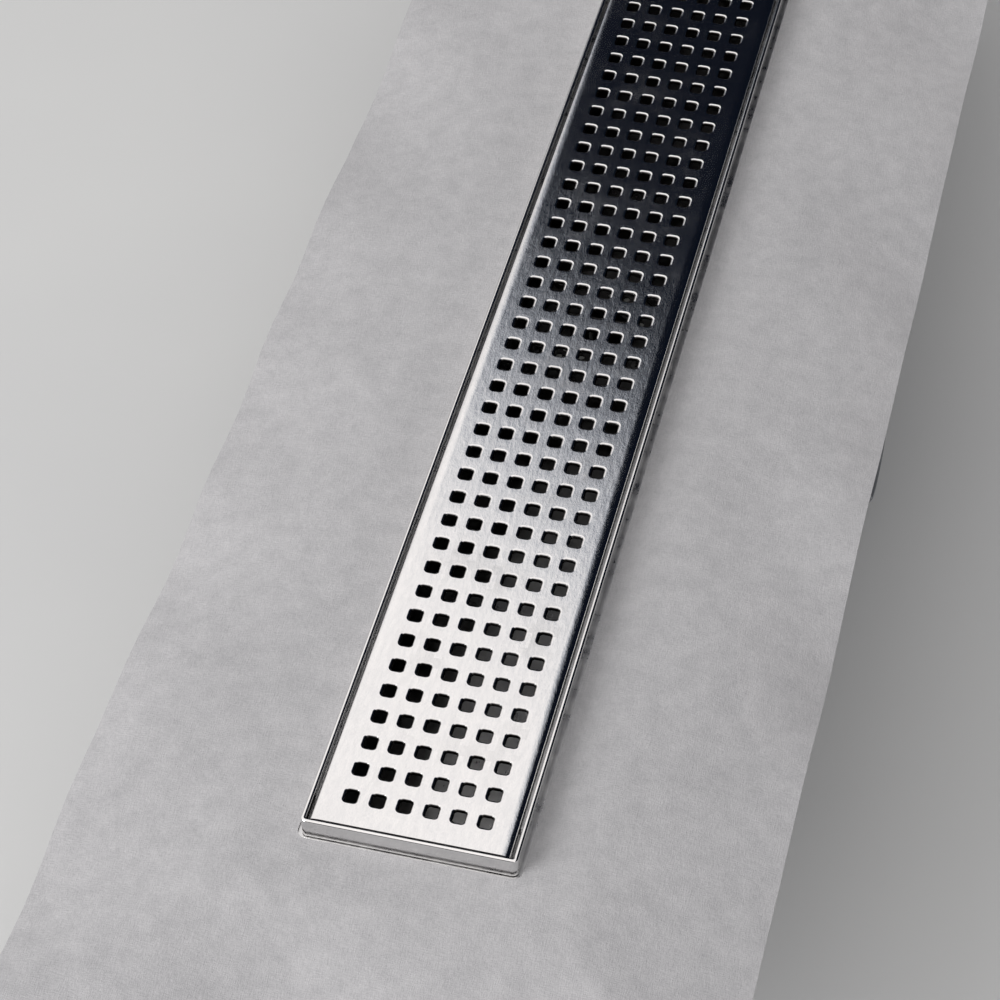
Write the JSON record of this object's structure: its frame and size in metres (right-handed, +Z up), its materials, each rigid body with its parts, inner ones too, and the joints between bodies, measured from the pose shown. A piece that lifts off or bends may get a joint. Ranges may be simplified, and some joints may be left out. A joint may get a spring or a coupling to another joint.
{
  "type": "linear floor drain",
  "caption": "Linear shower drain: perforated stainless grate in a thin-lipped tile frame over a sloped channel, with a lift-out trap, side outlet and slotted legs.",
  "frame": {"origin": "on the floor, under the middle of the drain", "axes": "+X across the drain towards the outlet, +Y along it, +Z up"},
  "size_m": [0.2604, 0.7854, 0.115],
  "materials": {
    "stainless_brushed": "fine lengthwise satin grain",
    "stainless_polished": "polished",
    "stainless_pickled": "pickled, dull",
    "steel_screws": "bright",
    "steel_zinc": "galvanised",
    "rubber_black": "matt",
    "butyl": "tacky",
    "fleece": "fine non-woven fleece",
    "plastic_grey": "moulded, matt",
    "plastic_dark": "moulded, matt",
    "plastic_white": "moulded, satin"
  },
  "bodies": {
    "channel": {"channel": "stainless_pickled", "bond_strip": "butyl", "sealing_collar": "fleece", "trap_gasket": "rubber_black", "clamp_ring": "stainless_pickled", "clamp_screws": "steel_screws", "trap_top": "plastic_grey", "trap_housing": "plastic_grey", "outlet_seal": "rubber_black", "outlet_nut": "plastic_dark", "leg_saddle_front": "steel_zinc", "leg_saddle_rear": "steel_zinc", "leg_bolts": "steel_screws", "leg_washers": "steel_screws", "leg_wing_nuts": "steel_screws"},
    "tile_frame": {"tile_frame": "stainless_polished", "height_sleeve_1": "stainless_pickled", "height_sleeve_2": "stainless_pickled", "height_sleeve_3": "stainless_pickled", "height_sleeve_4": "stainless_pickled"},
    "grate": {"grate": "stainless_brushed", "grate_stiffener_1": "stainless_pickled", "grate_stiffener_2": "stainless_pickled", "grate_stiffener_3": "stainless_pickled", "grate_stiffener_4": "stainless_pickled", "grate_pad_1": "rubber_black", "grate_pad_2": "rubber_black", "grate_pad_3": "rubber_black", "grate_pad_4": "rubber_black"},
    "water_seal": {"dip_tube": "plastic_white", "insert_seal": "rubber_black", "trap_cup": "plastic_white"},
    "hair_strainer": {"hair_strainer": "stainless_polished", "strainer_handle": "stainless_polished"},
    "outlet_spigot": {"outlet_spigot": "plastic_grey"},
    "height_screw_1": {"height_screw_1": "steel_screws"},
    "leg_1": {"leg_1": "steel_zinc", "foot_pad_1": "rubber_black"},
    "height_screw_2": {"height_screw_2": "steel_screws"},
    "leg_2": {"leg_2": "steel_zinc", "foot_pad_2": "rubber_black"},
    "height_screw_3": {"height_screw_3": "steel_screws"},
    "leg_3": {"leg_3": "steel_zinc", "foot_pad_3": "rubber_black"},
    "height_screw_4": {"height_screw_4": "steel_screws"},
    "leg_4": {"leg_4": "steel_zinc", "foot_pad_4": "rubber_black"}
  },
  "joints": [
    {"name": "frame_height", "type": "slide", "parent": "channel", "child": "tile_frame", "axis": [0, 0, 1], "range_m": [0, 0.008]},
    {"name": "grate_lift", "type": "slide", "parent": "tile_frame", "child": "grate", "axis": [0, 0, 1], "range_m": [0, 0.08]},
    {"name": "water_seal_lift", "type": "slide", "parent": "channel", "child": "water_seal", "axis": [0, 0, 1], "range_m": [0, 0.011]},
    {"name": "strainer_lift", "type": "slide", "parent": "water_seal", "child": "hair_strainer", "axis": [0, 0, 1], "range_m": [0, 0.014]},
    {"name": "outlet_tilt", "type": "hinge", "parent": "channel", "child": "outlet_spigot", "pos_m": [0.066, 0, 0.038], "axis": [0, 1, 0], "range_deg": [-7.5, 7.5]},
    {"name": "height_screw_1_turn", "type": "hinge", "parent": "channel", "child": "height_screw_1", "pos_m": [-0.024, -0.295, 0.09], "axis": [0, 0, 1], "range_deg": [-3601, 0]},
    {"name": "height_screw_2_turn", "type": "hinge", "parent": "channel", "child": "height_screw_2", "pos_m": [0.024, -0.295, 0.09], "axis": [0, 0, 1], "range_deg": [-3601, 0]},
    {"name": "height_screw_3_turn", "type": "hinge", "parent": "channel", "child": "height_screw_3", "pos_m": [-0.024, 0.295, 0.09], "axis": [0, 0, 1], "range_deg": [-3601, 0]},
    {"name": "height_screw_4_turn", "type": "hinge", "parent": "channel", "child": "height_screw_4", "pos_m": [0.024, 0.295, 0.09], "axis": [0, 0, 1], "range_deg": [-3601, 0]},
    {"name": "leg_1_slide", "type": "slide", "parent": "channel", "child": "leg_1", "axis": [0, 0, -1], "range_m": [0, 0.03]},
    {"name": "leg_2_slide", "type": "slide", "parent": "channel", "child": "leg_2", "axis": [0, 0, -1], "range_m": [0, 0.03]},
    {"name": "leg_3_slide", "type": "slide", "parent": "channel", "child": "leg_3", "axis": [0, 0, -1], "range_m": [0, 0.03]},
    {"name": "leg_4_slide", "type": "slide", "parent": "channel", "child": "leg_4", "axis": [0, 0, -1], "range_m": [0, 0.03]}
  ],
  "couplings": [
    {"joint": "height_screw_1_turn", "follows": "frame_height", "rad_per_m": -7854},
    {"joint": "height_screw_2_turn", "follows": "frame_height", "rad_per_m": -7854},
    {"joint": "height_screw_3_turn", "follows": "frame_height", "rad_per_m": -7854},
    {"joint": "height_screw_4_turn", "follows": "frame_height", "rad_per_m": -7854}
  ]
}
